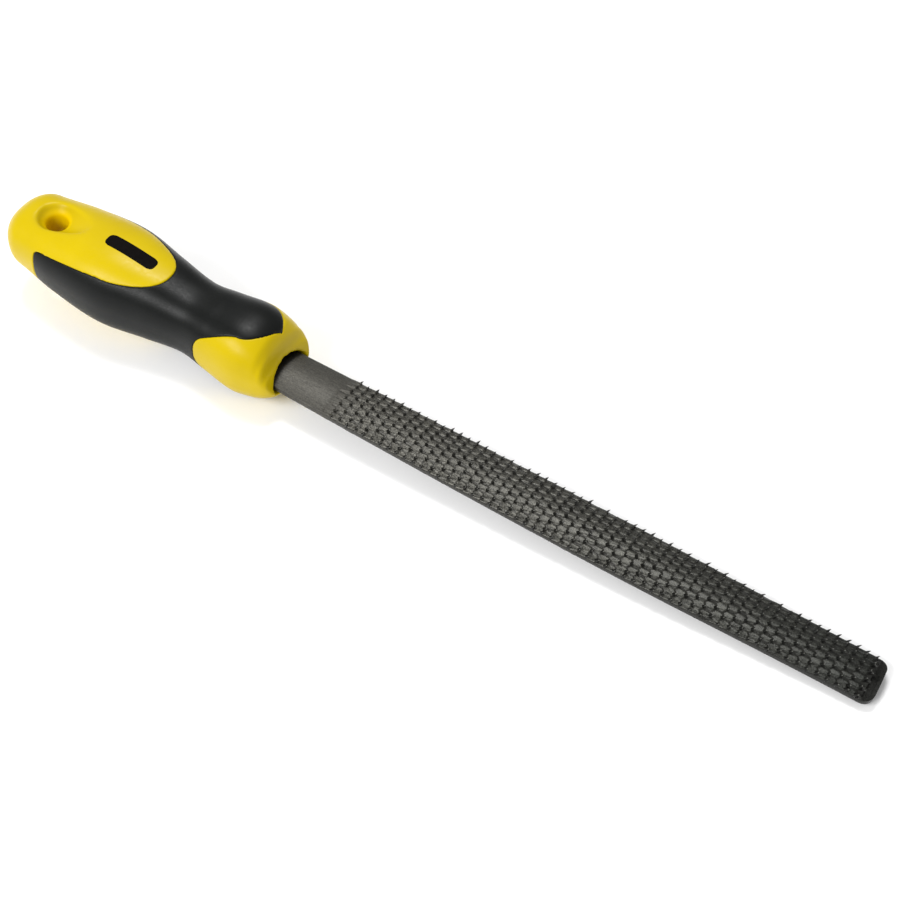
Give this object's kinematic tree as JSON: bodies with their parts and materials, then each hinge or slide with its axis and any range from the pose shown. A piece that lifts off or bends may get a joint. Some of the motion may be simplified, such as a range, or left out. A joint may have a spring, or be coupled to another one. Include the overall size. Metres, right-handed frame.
{
  "type": "wood rasp",
  "caption": "Half-round wood rasp with staggered burr teeth, a smooth shank and a two-material handle with soft grip, mouth for the tang and hang hole.",
  "frame": {"origin": "middle of the hang hole, on its axis", "axes": "+X along the tool towards the blade's tip, +Z out of the curved toothed face and along the hang hole, +Y across the blade"},
  "size_m": [0.3062, 0.0328, 0.0308],
  "materials": {
    "blade_steel": "satin, darker between the teeth",
    "shell_plastic": "semi-gloss yellow",
    "grip_rubber": "matt black",
    "socket_plastic": "matt black",
    "print_ink": "printed, matt black"
  },
  "bodies": {
    "root": {"blade": "blade_steel", "handle_shell": "shell_plastic", "soft_grip": "grip_rubber", "tang_socket": "socket_plastic", "print_bar": "print_ink"}
  },
  "joints": []
}
